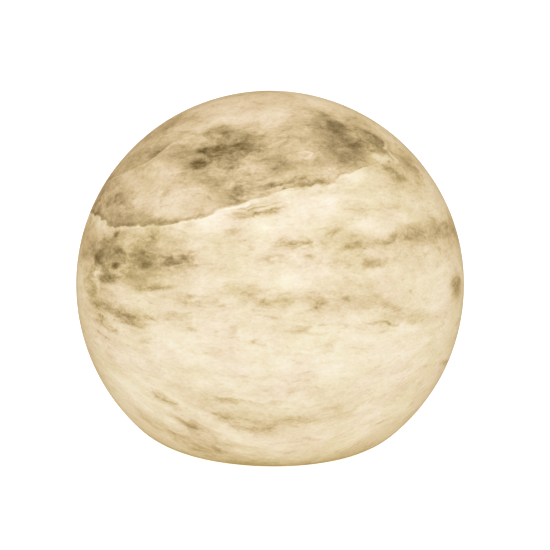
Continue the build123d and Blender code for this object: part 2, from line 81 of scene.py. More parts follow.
# How finely the orb's mesh is divided, and what counts as a sharp edge or a point on the axis
STEPS_AROUND = 256
OUTSIDE_STEPS = 128
FOOT_EDGE_STEPS = 28
HOLLOW_STEPS = 64
HOLLOW_FILLET_STEPS = 10
NOTCH_FILLET_STEPS = 8
ARRIS_STEPS = 4
SHARP_ANGLE = math.radians(40)
AXIS_TOLERANCE = 1e-6

# Opal diffuser, and the strips of light sources behind it
OPAL_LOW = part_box("diffuser")[0]
OPAL_DIM_HEIGHT = 0.02
STRIPS = 6

# Stage: floor, backdrop and lights, each light with its place, size and power
FLOOR_SIZE = 40.0
FLOOR_GREYS = ((0.80, 0.80, 0.80, 1.0), (0.84, 0.84, 0.84, 1.0))
FLOOR_SPECKLE = 900.0
FLOOR_ROUGHNESS = 0.7
FLOOR_GLOW = 0.84
WHITE = (1.0, 1.0, 1.0, 1.0)
BACKDROP = 1.0
FILL = 0.45
SOFTBOXES = {
    "key": ((-1.2, -1.4, 1.9), 1.4, 13.5),
    "fill": ((1.6, -0.9, 1.2), 1.6, 7.5),
    "rear": ((0.3, 1.8, 1.6), 1.6, 5.0),
}
UNDER_LIGHT = ((-0.3, -0.5, -1.0), 1.2, 6.0)
UNDERSIDE = ("base_plate", "foot_ring", "button_cap", "usb_socket", "light_pipe")

# Stone tones, darkest first: place on the tone scale, then red, green and blue
STONE_TONES = [
    (0.00, (104, 84, 48)),
    (0.14, (129, 110, 69)),
    (0.28, (158, 138, 97)),
    (0.42, (190, 169, 126)),
    (0.56, (217, 197, 156)),
    (0.70, (234, 219, 190)),
    (0.84, (245, 235, 213)),
    (1.00, (253, 249, 238)),
]

# Marks in the stone: x, y, half length and half height in the photograph's pixels, tilt in degrees
# with a rise to the right as positive, and how much darker the mark is
BROAD_TANS = [
    (105, 252, 36, 32, 0, 0.165),
    (126, 262, 44, 26, 0, 0.08),
    (85, 240, 9, 20, 0, 0.18),
    (148, 236, 40, 13, 0, 0.16),
    (130, 232, 20, 7, 0, 0.09),
    (128, 284, 30, 12, 0, 0.05),
    (172, 221, 22, 7, 0, 0.10),
    (118, 217, 24, 8, 0, 0.12),
    (378, 437, 28, 7, 28, 0.08),
    (106, 184, 8, 12, -35, 0.16),
    (175, 272, 26, 8, 0, 0.08),
    (422, 228, 38, 10, 8, 0.15),
    (378, 238, 24, 8, 6, 0.06),
    (425, 240, 50, 16, 6, 0.10),
    (452, 226, 12, 18, 0, 0.18),
    (358, 208, 12, 6, 0, 0.12),
    (387, 204, 12, 6, 0, 0.10),
    (410, 188, 22, 14, -40, 0.07),
    (350, 243, 50, 11, 4, 0.08),
    (395, 260, 36, 8, 0, 0.07),
    (243, 231, 14, 9, 0, 0.15),
    (210, 196, 14, 8, 12, 0.06),
    (305, 262, 26, 9, 0, 0.07),
    (310, 302, 55, 12, 0, 0.10),
    (360, 322, 80, 10, 0, 0.06),
    (275, 300, 28, 9, 0, 0.10),
    (412, 316, 22, 8, 0, 0.17),
    (290, 424, 90, 12, 0, 0.11),
    (192, 444, 44, 10, -18, 0.09),
    (349, 137, 43, 24, -16, 0.28),
    (370, 130, 26, 10, -32, 0.10),
    (408, 160, 10, 14, 45, 0.04),
    (282, 168, 40, 10, 8, 0.04),
    (172, 122, 20, 9, 38, 0.15),
    (196, 139, 32, 14, 24, 0.11),
    (240, 148, 42, 16, 6, 0.08),
    (243, 288, 18, 9, 0, 0.09),
    (98, 314, 18, 22, -20, 0.12),
    (405, 165, 24, 14, -45, 0.10),
]
CROWN_CLOUDS = [
    (230, 149, 42, 22, 0, 0.16),
    (199, 164, 13, 8, 0, 0.13),
    (203, 150, 9, 5, 8, 0.12),
    (228, 147, 18, 7, -6, 0.08),
    (221, 136, 17, 7, 4, 0.13),
    (252, 138, 16, 6, 0, 0.09),
    (230, 162, 11, 6, 10, 0.05),
    (210, 180, 20, 7, 6, 0.07),
    (245, 193, 17, 6, 24, 0.22),
    (258, 178, 16, 3, 12, 0.14),
    (281, 168, 24, 8, 12, 0.07),
    (289, 138, 12, 3, 10, 0.10),
]
SHOULDER_CLOUDS = [
    (335, 126, 16, 9, -8, 0.06),
    (316, 121, 13, 8, -10, 0.10),
    (360, 138, 28, 13, -16, 0.07),
    (371, 137, 16, 7, -22, 0.09),
    (387, 148, 8, 7, -30, 0.11),
    (353, 145, 13, 3, -10, 0.05),
    (351, 158, 7, 7, 50, 0.05),
    (337, 150, 15, 7, -10, 0.05),
    (385, 163, 8, 4, -35, 0.11),
    (392, 171, 11, 5, -38, 0.17),
    (410, 161, 11, 4, -45, 0.14),
    (421, 178, 4, 9, 0, 0.12),
    (296, 182, 24, 4, 8, 0.28),
    (275, 186, 9, 4, 16, 0.16),
]
LEFT_CLOUDS = [
    (135, 256, 48, 24, 0, 0.07),
    (95, 254, 9, 10, 0, 0.10),
    (98, 261, 5, 5, 0, 0.08),
    (118, 252, 9, 9, 0, 0.09),
    (145, 254, 12, 11, 20, 0.05),
    (173, 261, 16, 8, -8, 0.16),
    (192, 264, 15, 6, -6, 0.16),
    (185, 254, 15, 6, 8, 0.12),
    (114, 271, 13, 9, 0, 0.11),
    (117, 234, 4, 5, 0, 0.18),
    (89, 281, 6, 11, 0, 0.16),
    (93, 293, 5, 6, 0, 0.06),
    (146, 289, 14, 5, 0, 0.14),
    (160, 288, 12, 3, 8, 0.14),
    (113, 311, 20, 8, -14, 0.26),
    (124, 317, 11, 5, -12, 0.06),
    (104, 324, 10, 4, -24, 0.24),
    (100, 333, 5, 3, -40, 0.24),
    (97, 307, 7, 2, -40, 0.16),
    (102, 317, 9, 2, -34, 0.16),
    (112, 329, 11, 2, -26, 0.16),
    (132, 324, 11, 2, -16, 0.12),
    (155, 317, 23, 3, 0, 0.16),
    (185, 301, 21, 5, -6, 0.15),
    (219, 306, 5, 2.5, 0, 0.10),
    (189, 329, 8, 2.5, 10, 0.16),
    (146, 340, 9, 3, 0, 0.16),
]
UPPER_LEFT_BAND = [
    (96, 206, 8, 11, 0, 0.20),
    (117, 200, 11, 5, 0, 0.14),
    (135, 204, 6, 3, 0, 0.10),
    (119, 178, 5, 7, 30, 0.12),
    (146, 157, 20, 7, 40, 0.05),
    (157, 150, 7, 5, 30, 0.14),
]
RIGHT_BANDS = [
    (458, 279, 4, 8, 0, 0.24),
    (417, 230, 24, 7, 8, 0.03),
    (396, 236, 22, 4, 6, 0.06),
    (333, 231, 9, 4, 10, 0.12),
    (295, 243, 15, 4, 4, 0.24),
    (281, 258, 14, 4, 0, 0.14),
    (313, 243, 22, 5, 6, 0.20),
    (353, 244, 10, 4, 0, 0.18),
    (308, 255, 8, 4, 0, 0.20),
    (365, 250, 3, 2, 0, 0.18),
    (334, 265, 7, 5, 50, 0.12),
    (235, 227, 8, 6, 0, 0.15),
    (238, 218, 15, 4, -12, 0.10),
    (258, 212, 19, 5, 10, 0.18),
]
MIDDLE_SMUDGES = [
    (271, 299, 16, 9, 0, 0.22),
    (313, 308, 13, 6, 15, 0.24),
    (297, 329, 8, 3.5, 10, 0.16),
    (385, 324, 11, 1.6, -8, 0.22),
    (391, 309, 15, 3, -8, 0.16),
    (361, 301, 32, 6, 0, 0.09),
    (331, 346, 10, 6, 10, 0.12),
    (260, 342, 7, 3, 8, 0.16),
    (235, 330, 6, 6, 0, 0.10),
]
VEIN_FIBRES = [
    (247, 206, 15, 1.6, 20, 0.18),
    (257, 213, 15, 1.6, 14, 0.16),
    (239, 215, 11, 1.6, 22, 0.16),
    (263, 205, 11, 1.6, 16, 0.18),
    (274, 209, 14, 1.6, 10, 0.12),
    (286, 186, 13, 1.8, 10, 0.22),
    (318, 183, 9, 1.6, 8, 0.12),
]
LOWER_STREAKS = [
    (167, 402, 14, 5, -25, 0.27),
    (195, 427, 19, 5, -18, 0.20),
    (215, 397, 18, 4, -12, 0.15),
    (236, 402, 16, 3, -10, 0.13),
    (270, 405, 15, 3, 6, 0.12),
    (229, 421, 22, 5, -8, 0.19),
    (255, 430, 18, 5, 0, 0.18),
    (162, 430, 21, 4, -28, 0.11),
    (200, 446, 30, 7, -8, 0.08),
    (377, 422, 11, 3, 6, 0.13),
    (305, 441, 11, 3, 0, 0.13),
    (331, 408, 9, 4, 10, 0.06),
    (295, 420, 32, 5, 0, 0.10),
]
STONE_CLOUDS = (
    CROWN_CLOUDS + SHOULDER_CLOUDS + LEFT_CLOUDS + UPPER_LEFT_BAND
    + RIGHT_BANDS + MIDDLE_SMUDGES + VEIN_FIBRES + LOWER_STREAKS
)

# Small dark spots with a whole outline, in the same form
STONE_SPOTS = [
    (197, 164, 6, 4, 0, 0.56),
    (201, 150, 6, 2, 4, 0.46),
    (227, 147, 4, 2, 20, 0.28),
    (238, 146, 7, 2.2, -8, 0.20),
    (334, 123, 8, 2.6, -6, 0.30),
    (344, 127, 5, 2, -30, 0.18),
    (372, 136, 6, 3, -20, 0.12),
    (387, 148, 5, 4, -30, 0.10),
    (353, 144, 11, 1.8, -8, 0.14),
    (401, 179, 5, 3, 0, 0.40),
    (98, 257, 4, 6, 0, 0.26),
    (119, 250, 5, 5, 0, 0.24),
    (116, 266, 3.5, 2.5, 0, 0.75),
    (107, 279, 9, 4.5, 0, 0.46),
    (144, 266, 5, 3.5, 20, 0.50),
    (171, 262, 6, 3, -8, 0.30),
    (93, 292, 4, 5, 0, 0.08),
    (124, 316, 9, 3, -14, 0.20),
    (216, 301, 3, 2, 0, 0.26),
    (373, 264, 9, 4.5, 0, 0.50),
    (457, 287, 4.5, 10, -10, 0.62),
    (346, 299, 4, 3, 0, 0.22),
    (411, 292, 1.6, 2, 0, 0.30),
    (446, 362, 2.5, 2.5, 0, 0.40),
]

# Lighter places in the stone, in the same form: how much lighter instead
STONE_LIGHTS = [
    (300, 205, 60, 12, 12, 0.08),
    (327, 200, 15, 8, 0, 0.10),
    (356, 177, 12, 7, 20, 0.12),
    (327, 173, 20, 5, 12, 0.11),
    (265, 120, 34, 8, -4, 0.08),
    (281, 228, 22, 9, 4, 0.12),
    (219, 217, 18, 7, 24, 0.10),
    (205, 243, 26, 8, 0, 0.07),
    (286, 284, 22, 13, 0, 0.10),
    (228, 281, 16, 7, 0, 0.07),
    (229, 321, 16, 8, 0, 0.08),
    (326, 331, 18, 8, 6, 0.10),
    (364, 226, 16, 6, 6, 0.12),
    (383, 232, 8, 5, 0, 0.12),
    (200, 126, 26, 8, 16, 0.08),
    (300, 156, 11, 2, 12, 0.10),
    (307, 153, 4, 1.5, 0, 0.20),
    (391, 151, 2.5, 8, -15, 0.28),
    (383, 158, 7, 2.5, 20, 0.18),
    (97, 276, 2.5, 16, 8, 0.20),
    (158, 199, 28, 9, 6, 0.13),
    (160, 213, 22, 5, 4, 0.06),
    (102, 228, 6, 8, -50, 0.08),
    (131, 246, 4, 15, 8, 0.10),
    (240, 170, 14, 4, 10, 0.10),
    (243, 202, 13, 1.6, 22, 0.10),
    (258, 198, 11, 1.6, 18, 0.10),
    (231, 207, 9, 1.6, 20, 0.08),
    (284, 191, 10, 2, 8, 0.12),
    (320, 352, 60, 24, 6, 0.10),
    (410, 352, 42, 24, 0, 0.11),
    (128, 390, 24, 9, -35, 0.11),
    (180, 350, 50, 20, 0, 0.07),
    (250, 385, 80, 16, 0, 0.06),
    (150, 385, 26, 5, -25, 0.09),
    (200, 415, 30, 4, -22, 0.10),
    (172, 423, 16, 4, -30, 0.19),
    (232, 437, 28, 3.5, -18, 0.14),
    (330, 420, 60, 14, 6, 0.06),
]

# The long vein, as pixels along the front and as longitude and latitude in degrees round the back
LONG_VEIN = [
    (97, 216), (105, 221), (113, 227), (125, 225), (151, 225), (169, 223), (189, 219),
    (205, 216), (225, 208), (245, 201), (265, 196), (276, 191), (285, 189), (305, 186),
    (320, 184), (333, 181), (342, 177), (350, 173), (358, 168),
]
LONG_VEIN_REAR = [(-180, 24), (-140, 19), (-108, 20), (70, 45), (110, 38), (150, 28), (180, 24)]

# The short vein above it at the left, in the same form
SHORT_VEIN = [(124, 172), (134, 168), (145, 163), (155, 156), (165, 148), (178, 140)]
SHORT_VEIN_REAR = [(-180, 20), (-110, 26), (-80, 33), (0, 62), (90, 50), (180, 20)]

# How a mark reaches into the stone in radii, how far past its half sizes it fades, and how soft spots are
MARK_DEPTH = 0.25
MARK_SPREAD = 1.8
SPOT_FADE = 0.85

# How the stone's bedding bows and tilts, and the heights between which that changes, in radii
BOW_LOW, BOW_HIGH = 0.8, 0.1
BED_TILT = 0.10
BEND_LOW, BEND_HIGH = -0.3, 0.5

# How the bedding drifts and tears: noise scale and detail, and reach in radii
DRIFT_SCALE = 1.6
DRIFT_DETAIL = 3.0
DRIFT_REACH = 0.30
TEAR_FLATNESS = 2.2
TEAR_SCALE = 7.0
TEAR_DETAIL = 6.0
TEAR_REACH = (0.20, 0.20, 0.06)
HAZE_TEAR = 0.6
SPOT_TEAR = 0.25

# How far the veins bump up and how low they start, in radians of latitude
VEIN_BUMPS = 0.10
VEIN_DROP = 0.009

# Noises in the stone: how flat they lie along the bedding, scale, detail and roughness
CLOUD_NOISE = (1.0, 1.9, 6.0, 0.55)
STREAK_NOISE = (2.6, 3.2, 10.0, 0.62)
MOTTLE_NOISE = (1.5, 7.0, 6.0, 0.6)
FINE_NOISE = (2.1, 22.0, 5.0, 0.66)
GRAIN_NOISE = (1.8, 60.0, 2.0, 0.6)
DASH_NOISE = (3.4, 13.0, 4.0, 0.55)
BANK_NOISE = (1.7, 2.1, 5.0, 0.5)
RIDGE_NOISE = (1.0, 9.0, 4.0, 0.6)
BUMP_NOISE = (1.0, 8.5, 3.0, 0.5)
HUE_NOISE = (1.0, 4.5, 5.0, 0.55)

# Smooth steps over the orb: where each starts and ends, in radii or in radians of longitude
REAR_STEP = (-0.35, 0.45)
# Painted shade: the stone darkens over this step towards its foot, where the base inside would block the
# light
FOOT_SHADE_STEP = (-0.64, -0.84)
LONG_VEIN_END = (0.82, 0.58)
LONG_VEIN_RETURN = (2.2, 2.9)
LONG_VEIN_BLUR = (-0.30, 0.15)
SHORT_VEIN_START = (-1.7, -1.2)
SHORT_VEIN_END = (-0.65, -0.85)

# Smooth steps over a vein, in radians above it: where each starts and ends, then the values there
# where they aren't 0 and 1. A band has two steps, one at each of its sides.
ZONE_SHARP = (-0.002, 0.012)
ZONE_BLURRED = (-0.015, 0.055)
ZONE_FAR = (0.75, 0.25, 0.55, 1.0)
LONG_LINE = ((0.030, 0.002), (-0.004, 0.002))
LONG_EDGE = ((-0.07, -0.008), (0.002, -0.006))
SHORT_ZONE = ((0.0, 0.02), (0.30, 0.10))
SHORT_LINE = ((0.022, 0.001), (-0.004, 0.001))
SHORT_EDGE = ((-0.05, -0.005), (0.002, -0.004))

# Smooth steps over a noise or another feature, in the same form
BREAK_STEP = (0.35, 0.60, 0.30, 1.0)
BANK_STEP = (0.53, 0.70, 0.0, 0.42)
HAZE_STEP = (0.25, 0.75, 1.18, 0.82)
PATCH_STEP = (0.25, 0.78, 1.38, 0.52)
RIDGE_STEP = (0.10, 0.0)
DASH_STEP = (0.44, 0.30)
HONEY_STEP = (0.0, 0.5, 0.58, 0.0)
STONE_ROUGHNESS = (0.2, 0.8, 0.40, 0.56)

# The tone of plain stone, and how strongly each noise varies it
PLAIN_TONE = 0.772
CLOUD_CONTRAST = 0.14
CLOUD_CONTRAST_REAR = 0.35
STREAK_CONTRAST = 0.50
MOTTLE_CONTRAST = 0.36
FINE_CONTRAST = 0.26
GRAIN_CONTRAST = 0.24
PATCH_STREAKS = 0.7
PATCH_FINE = 1.0
RIDGE_FOLD = 2.0
HUE_CONTRAST = 3.2

# What each feature of the stone adds to the tone
DASH_TONE = -0.10
FILAMENT_TONE = 0.22
# Painted shade at the foot, where the base inside would block the light
FOOT_SHADE_TONE = -0.27
LONG_ZONE_TONE = -0.16
LONG_LINE_TONE = -0.22
LONG_EDGE_TONE = 0.12
SHORT_ZONE_TONE = -0.10
SHORT_LINE_TONE = -0.07
SHORT_EDGE_TONE = 0.08
HAZE_TONE = -1.0
CLOUD_TONE = -1.08
SPOT_TONE = -0.52
LIGHT_TONE = 1.0

# The stone's surface: tints, share of its colour that reflects, glow, relief and thin coat
ROSE_TINT = (1.016, 0.998, 1.035)
HONEY_TINT = (0.992, 1.0, 0.945)
# Painted shade at the foot also turns the stone's colour more olive
FOOT_SHADE_TINT = (0.955, 1.0, 0.965)
STONE_SHARE = 0.42
GLOW = 0.79
STONE_RELIEF = 0.12
STONE_RELIEF_DEPTH = 0.0004
STONE_SPECULAR = 0.14
COAT_IOR = 1.01
COAT_ROUGHNESS = 0.25
COAT_TINT = (0.932, 0.911, 0.869, 1.0)


# Camera

def camera_axes():
    """The camera's right, up and forward directions, with its roll."""
    forward = Vector((0, math.cos(CAMERA_ELEVATION), -math.sin(CAMERA_ELEVATION)))
    level_right = Vector((1, 0, 0))
    level_up = level_right.cross(forward)
    right = level_right * math.cos(CAMERA_ROLL) + level_up * math.sin(CAMERA_ROLL)
    return right, right.cross(forward), forward


def camera_place():
    """Where the camera stands."""
    return ORB_CENTRE - camera_axes()[2] * CAMERA_DISTANCE


def seen_at(x, y):
    """The point of the orb's sphere seen at a pixel of the photograph, from its centre, in radii."""
    right, up, forward = camera_axes()
    pixels = PICTURE * LENS / SENSOR
    middle_x = PICTURE * (0.5 - CAMERA_SHIFT[0])
    middle_y = PICTURE * (0.5 + CAMERA_SHIFT[1])
    ray = (forward + right * ((x - middle_x) / pixels) + up * ((middle_y - y) / pixels)).normalized()
    start = (camera_place() - ORB_CENTRE) / ORB_RADIUS
    along = start.dot(ray)
    reach = max(0.0, along**2 - start.length_squared + 1)
    return (start + ray * (-along - math.sqrt(reach))).normalized()


def make_camera():
    """The camera at the photograph's angle."""
    data = bpy.data.cameras.new("camera")
    data.lens = LENS
    data.sensor_width = SENSOR
    data.shift_x, data.shift_y = CAMERA_SHIFT
    camera = bpy.data.objects.new("camera", data)
    right, up, forward = camera_axes()
    turn = Matrix((right, up, -forward)).transposed().to_4x4()
    camera.matrix_world = Matrix.Translation(camera_place()) @ turn
    bpy.context.scene.collection.objects.link(camera)
    bpy.context.scene.camera = camera


# Colours

def linear_part(part):
    """One part of a colour given as 0 to 255, in the renderer's linear scale."""
    share = part / 255
    if share <= 0.04045:
        return share / 12.92
    return ((share + 0.055) / 1.055) ** 2.4


def linear(*parts):
    """A colour given as red, green and blue from 0 to 255, in the renderer's linear scale."""
    return tuple(linear_part(part) for part in parts) + (1.0,)


def shade(colour, factor):
    """A colour made darker or lighter."""
    return tuple(min(1.0, part * factor) for part in colour[:3]) + (1.0,)


# Nodes of a material

class Graph:
    """The nodes of one material, with short ways to add and join them."""

    def __init__(self, name):
        self.material = bpy.data.materials.new(name)
        self.material.use_nodes = True
        self.tree = self.material.node_tree
        self.shader = self.tree.nodes["Principled BSDF"]
        self.place = self.node("TexCoord").outputs["Object"]

    def put(self, socket, value):
        """Joins a socket to another one, or sets its value."""
        if isinstance(value, bpy.types.NodeSocket):
            self.tree.links.new(value, socket)
        else:
            socket.default_value = value

    def node(self, kind, inputs=None, **settings):
        """A new node with its settings and inputs."""
        made = self.tree.nodes.new("ShaderNode" + kind)
        for name, value in settings.items():
            setattr(made, name, value)
        for key, value in (inputs or {}).items():
            self.put(made.inputs[key], value)
        return made

    def math(self, operation, *values):
        """A sum, product or other function of numbers."""
        return self.node("Math", dict(enumerate(values)), operation=operation).outputs[0]

    def product(self, first, *others):
        """Numbers multiplied together."""
        total = first
        for other in others:
            total = self.math("MULTIPLY", total, other)
        return total

    def centred(self, value, weight):
        """A noise taken about 0 and weighted."""
        return self.math("MULTIPLY_ADD", value, weight, -weight / 2)

    def step(self, value, start, end, low=0.0, high=1.0):
        """A smooth step from low at start to high at end."""
        inputs = {"Value": value, "From Min": start, "From Max": end, "To Min": low, "To Max": high}
        return self.node("MapRange", inputs, interpolation_type="SMOOTHSTEP").outputs["Result"]

    def band(self, value, one_side, other_side):
        """A band with a smooth step at each of its sides."""
        return self.math("MULTIPLY", self.step(value, *one_side), self.step(value, *other_side))

    def vector(self, operation, *values):
        """A function of vectors that gives a vector."""
        return self.node("VectorMath", dict(enumerate(values)), operation=operation).outputs["Vector"]

    def scaled(self, vector, factor):
        """A vector times a number."""
        return self.node("VectorMath", {0: vector, "Scale": factor}, operation="SCALE").outputs["Vector"]

    def noise(self, vector, scale, detail=3.0, roughness=0.55):
        """Cloudy noise from 0 to 1."""
        inputs = {"Vector": vector, "Scale": scale, "Detail": detail, "Roughness": roughness}
        return self.node("TexNoise", inputs).outputs["Fac"]

    def flat_noise(self, vector, flatness, scale, detail, roughness):
        """Cloudy noise that lies flat along level bedding."""
        return self.noise(self.vector("MULTIPLY", vector, (1.0, 1.0, flatness)), scale, detail, roughness)

    def noise_vector(self, vector, scale, detail):
        """Three noises about 0, as a vector."""
        inputs = {"Vector": vector, "Scale": scale, "Detail": detail}
        made = self.node("TexNoise", inputs).outputs["Color"]
        return self.vector("SUBTRACT", made, (0.5, 0.5, 0.5))

    def mix(self, factor, one, other):
        """A colour between two others."""
        return self.node("Mix", {0: factor, 6: one, 7: other}, data_type="RGBA").outputs[2]

    def shades(self, factor, colour, darkest=1.0, lightest=1.0):
        """A colour between a darker and a lighter shade of it."""
        return self.mix(factor, shade(colour, darkest), shade(colour, lightest))

    def ramp(self, value, stops):
        """A colour from a scale of stops, each a place and a colour."""
        made = self.node("ValToRGB", {"Fac": value})
        elements = made.color_ramp.elements
        elements[0].position, elements[0].color = stops[0]
        elements[1].position, elements[1].color = stops[-1]
        for position, colour in stops[1:-1]:
            elements.new(position).color = colour
        return made.outputs["Color"]

    def relief(self, height, strength, distance):
        """Surface relief from a height."""
        inputs = {"Height": height, "Strength": strength, "Distance": distance}
        self.put(self.shader.inputs["Normal"], self.node("Bump", inputs).outputs["Normal"])

    def glow(self, colour, strength):
        """Light that the surface gives off."""
        self.put(self.shader.inputs["Emission Color"], colour)
        self.put(self.shader.inputs["Emission Strength"], strength)

    def finish(self, colour, roughness, **fixed):
        """Gives the shader its colour and roughness, and the values that are the same all over."""
        self.put(self.shader.inputs["Base Color"], colour)
        self.put(self.shader.inputs["Roughness"], roughness)
        for name, value in fixed.items():
            self.put(self.shader.inputs[name.replace("_", " ").title().replace("Ior", "IOR")], value)
        return self.material


# Places in the stone

def laid_level(point):
    """A point of the orb moved so that the stone's bowed and tilted bedding lies level."""
    share = min(1.0, max(0.0, (point.z - BEND_LOW) / (BEND_HIGH - BEND_LOW)))
    share *= share * (3 - 2 * share)
    bow = BOW_LOW + (BOW_HIGH - BOW_LOW) * share
    return Vector((point.x, point.y, point.z * (1 + bow * point.x**2) - BED_TILT * share * point.x))


def level_bedding(graph, parts):
    """The same for every place of a material."""
    x, y, z = (parts[axis] for axis in "XYZ")
    bow = graph.step(z, BEND_LOW, BEND_HIGH, BOW_LOW, BOW_HIGH)
    stretch = graph.math("MULTIPLY_ADD", graph.math("MULTIPLY", x, x), bow, 1.0)
    tilt = graph.math("MULTIPLY", x, graph.step(z, BEND_LOW, BEND_HIGH, 0.0, BED_TILT))
    level = graph.math("SUBTRACT", graph.math("MULTIPLY", z, stretch), tilt)
    return graph.node("CombineXYZ", {"X": x, "Y": y, "Z": level}).outputs["Vector"]


class StonePlace:
    """A place in the stone, read in each of the ways that the stone's features follow."""

    def __init__(self, graph):
        self.plain = graph.scaled(graph.vector("SUBTRACT", graph.place, ORB_CENTRE), 1 / ORB_RADIUS)
        parts = graph.node("SeparateXYZ", {"Vector": self.plain}).outputs
        self.height = parts["Z"]
        self.behind = graph.step(parts["Y"], *REAR_STEP)
        self.longitude = graph.math("ARCTAN2", parts["X"], graph.math("MULTIPLY", parts["Y"], -1.0))
        self.latitude = graph.math("ARCSINE", parts["Z"])
        self.level = level_bedding(graph, parts)
        flat = graph.vector("MULTIPLY", self.level, (1.0, 1.0, TEAR_FLATNESS))
        tears = graph.noise_vector(flat, TEAR_SCALE, TEAR_DETAIL)
        self.tear = graph.vector("MULTIPLY", tears, TEAR_REACH)
        self.torn = graph.vector("ADD", self.level, self.tear)
        drifts = graph.noise_vector(self.level, DRIFT_SCALE, DRIFT_DETAIL)
        self.drift = graph.scaled(drifts, DRIFT_REACH)
        self.bedded = graph.vector("ADD", self.level, self.drift)


class StoneNoise:
    """The noises that vary plain stone, some of which the features share."""

    def __init__(self, graph, at):
        self.clouds = graph.flat_noise(at.bedded, *CLOUD_NOISE)
        self.streaks = graph.flat_noise(at.bedded, *STREAK_NOISE)
        self.mottle = graph.flat_noise(at.torn, *MOTTLE_NOISE)
        self.fine = graph.flat_noise(at.torn, *FINE_NOISE)
        self.grain = graph.flat_noise(at.plain, *GRAIN_NOISE)
        self.dashes = graph.flat_noise(at.bedded, *DASH_NOISE)


# Marks in the stone

def mark_frame(x, y, half_length, half_height, tilt):
    """A mark's middle, turn and half sizes on the orb with its bedding laid level, in radii."""
    turn = math.radians(tilt)
    middle = laid_level(seen_at(x, y))
    along = laid_level(seen_at(x + math.cos(turn), y - math.sin(turn))) - middle
    across = laid_level(seen_at(x - math.sin(turn), y - math.cos(turn))) - middle
    length_axis = along.normalized()
    across -= length_axis * across.dot(length_axis)
    height_axis = across.normalized()
    depth_axis = height_axis.cross(length_axis)
    turned = Matrix((length_axis, depth_axis, height_axis)).transposed().to_euler()
    size = Vector((half_length * along.length, MARK_DEPTH, half_height * across.length))
    return middle, turned, size * MARK_SPREAD


def marks_in(graph, place, marks, fade=1.0):
    """How strongly soft marks show at a place: the sum of each one's depth, fading to its rim."""
    total = 0.0
    for *shape, depth in marks:
        mark = graph.node("TexGradient", {"Vector": place}, gradient_type="SPHERICAL")
        mapping = mark.texture_mapping
        mapping.vector_type = "TEXTURE"
        mapping.translation, mapping.rotation, mapping.scale = mark_frame(*shape)
        total = graph.math("ADD", total, graph.step(mark.outputs["Fac"], 0.0, fade, 0.0, depth))
    return total


def tan_haze(graph, at, noises):
    """Broad soft tans, a little uneven."""
    place = graph.vector("ADD", at.level, graph.scaled(at.tear, HAZE_TEAR))
    haze = marks_in(graph, place, BROAD_TANS)
    return graph.math("MULTIPLY", haze, graph.step(noises.mottle, *HAZE_STEP))


def dark_clouds(graph, at, noises):
    """Clouds from their marks at the front and from noise at the rear, patchy all through."""
    banks = graph.flat_noise(at.torn, *BANK_NOISE)
    rear = graph.math("MULTIPLY", graph.step(banks, *BANK_STEP), at.behind)
    clouds = graph.math("ADD", marks_in(graph, at.torn, STONE_CLOUDS), rear)
    streaks = graph.centred(noises.streaks, PATCH_STREAKS)
    patches = graph.math("ADD", streaks, graph.centred(noises.fine, PATCH_FINE))
    patches = graph.math("ADD", noises.mottle, patches)
    return graph.math("MULTIPLY", clouds, graph.step(patches, *PATCH_STEP))


def pale_filaments(graph, at, clouds):
    """Pale threads through the dark clouds."""
    ridges = graph.flat_noise(graph.vector("ADD", at.torn, at.drift), *RIDGE_NOISE)
    folded = graph.math("ABSOLUTE", graph.centred(ridges, RIDGE_FOLD))
    return graph.math("MULTIPLY", clouds, graph.step(folded, *RIDGE_STEP))


def dark_spots(graph, at):
    """Small spots whose outlines stay whole."""
    place = graph.vector("ADD", at.level, graph.scaled(at.tear, SPOT_TEAR))
    return marks_in(graph, place, STONE_SPOTS, SPOT_FADE)


# Veins in the stone

def vein_points(pixels, rear):
    """A vein's points in order round the orb, as shares of the way round and of the way up."""
    seen = [seen_at(*pixel) for pixel in pixels]
    points = [(math.atan2(point.x, -point.y), math.asin(point.z)) for point in seen]
    points += [(math.radians(longitude), math.radians(latitude)) for longitude, latitude in rear]
    return sorted((0.5 + longitude / math.tau, 0.5 + latitude / math.pi) for longitude, latitude in points)


def vein_bumps(graph, at):
    """How far the veins bump up from their smooth lines, in radians of latitude."""
    bumps = graph.centred(graph.flat_noise(at.plain, *BUMP_NOISE), VEIN_BUMPS)
    return graph.math("SUBTRACT", graph.math("ABSOLUTE", bumps), VEIN_DROP)


def over_vein(graph, at, points, bumps):
    """How far over a bumpy vein a place is, in radians of latitude."""
    around = graph.math("MULTIPLY_ADD", at.longitude, 1 / math.tau, 0.5)
    curve = graph.node("FloatCurve", {"Value": around})
    line = curve.mapping.curves[0]
    line.points[0].location = points[0]
    line.points[1].location = points[-1]
    for point in points[1:-1]:
        line.points.new(*point)
    curve.mapping.update()
    height = graph.math("MULTIPLY_ADD", curve.outputs["Value"], math.pi, -math.pi / 2)
    return graph.math("SUBTRACT", graph.math("SUBTRACT", at.latitude, height), bumps)


def long_vein(graph, at, bumps, broken):
    """The tan zone over the long vein, the dark line along it and the light edge under it."""
    over = over_vein(graph, at, vein_points(LONG_VEIN, LONG_VEIN_REAR), bumps)
    shown = graph.step(at.longitude, *LONG_VEIN_END)
    shown = graph.math("ADD", shown, graph.step(at.longitude, *LONG_VEIN_RETURN))
    blur = graph.step(at.longitude, *LONG_VEIN_BLUR)
    sharp = graph.math("MULTIPLY", graph.step(over, *ZONE_SHARP), graph.math("SUBTRACT", 1.0, blur))
    blurred = graph.math("MULTIPLY", graph.step(over, *ZONE_BLURRED), blur)
    zone = graph.product(graph.math("ADD", sharp, blurred), graph.step(over, *ZONE_FAR), shown)
    line = graph.product(graph.band(over, *LONG_LINE), broken, shown)
    edge = graph.product(graph.band(over, *LONG_EDGE), broken, shown)
    return zone, line, edge


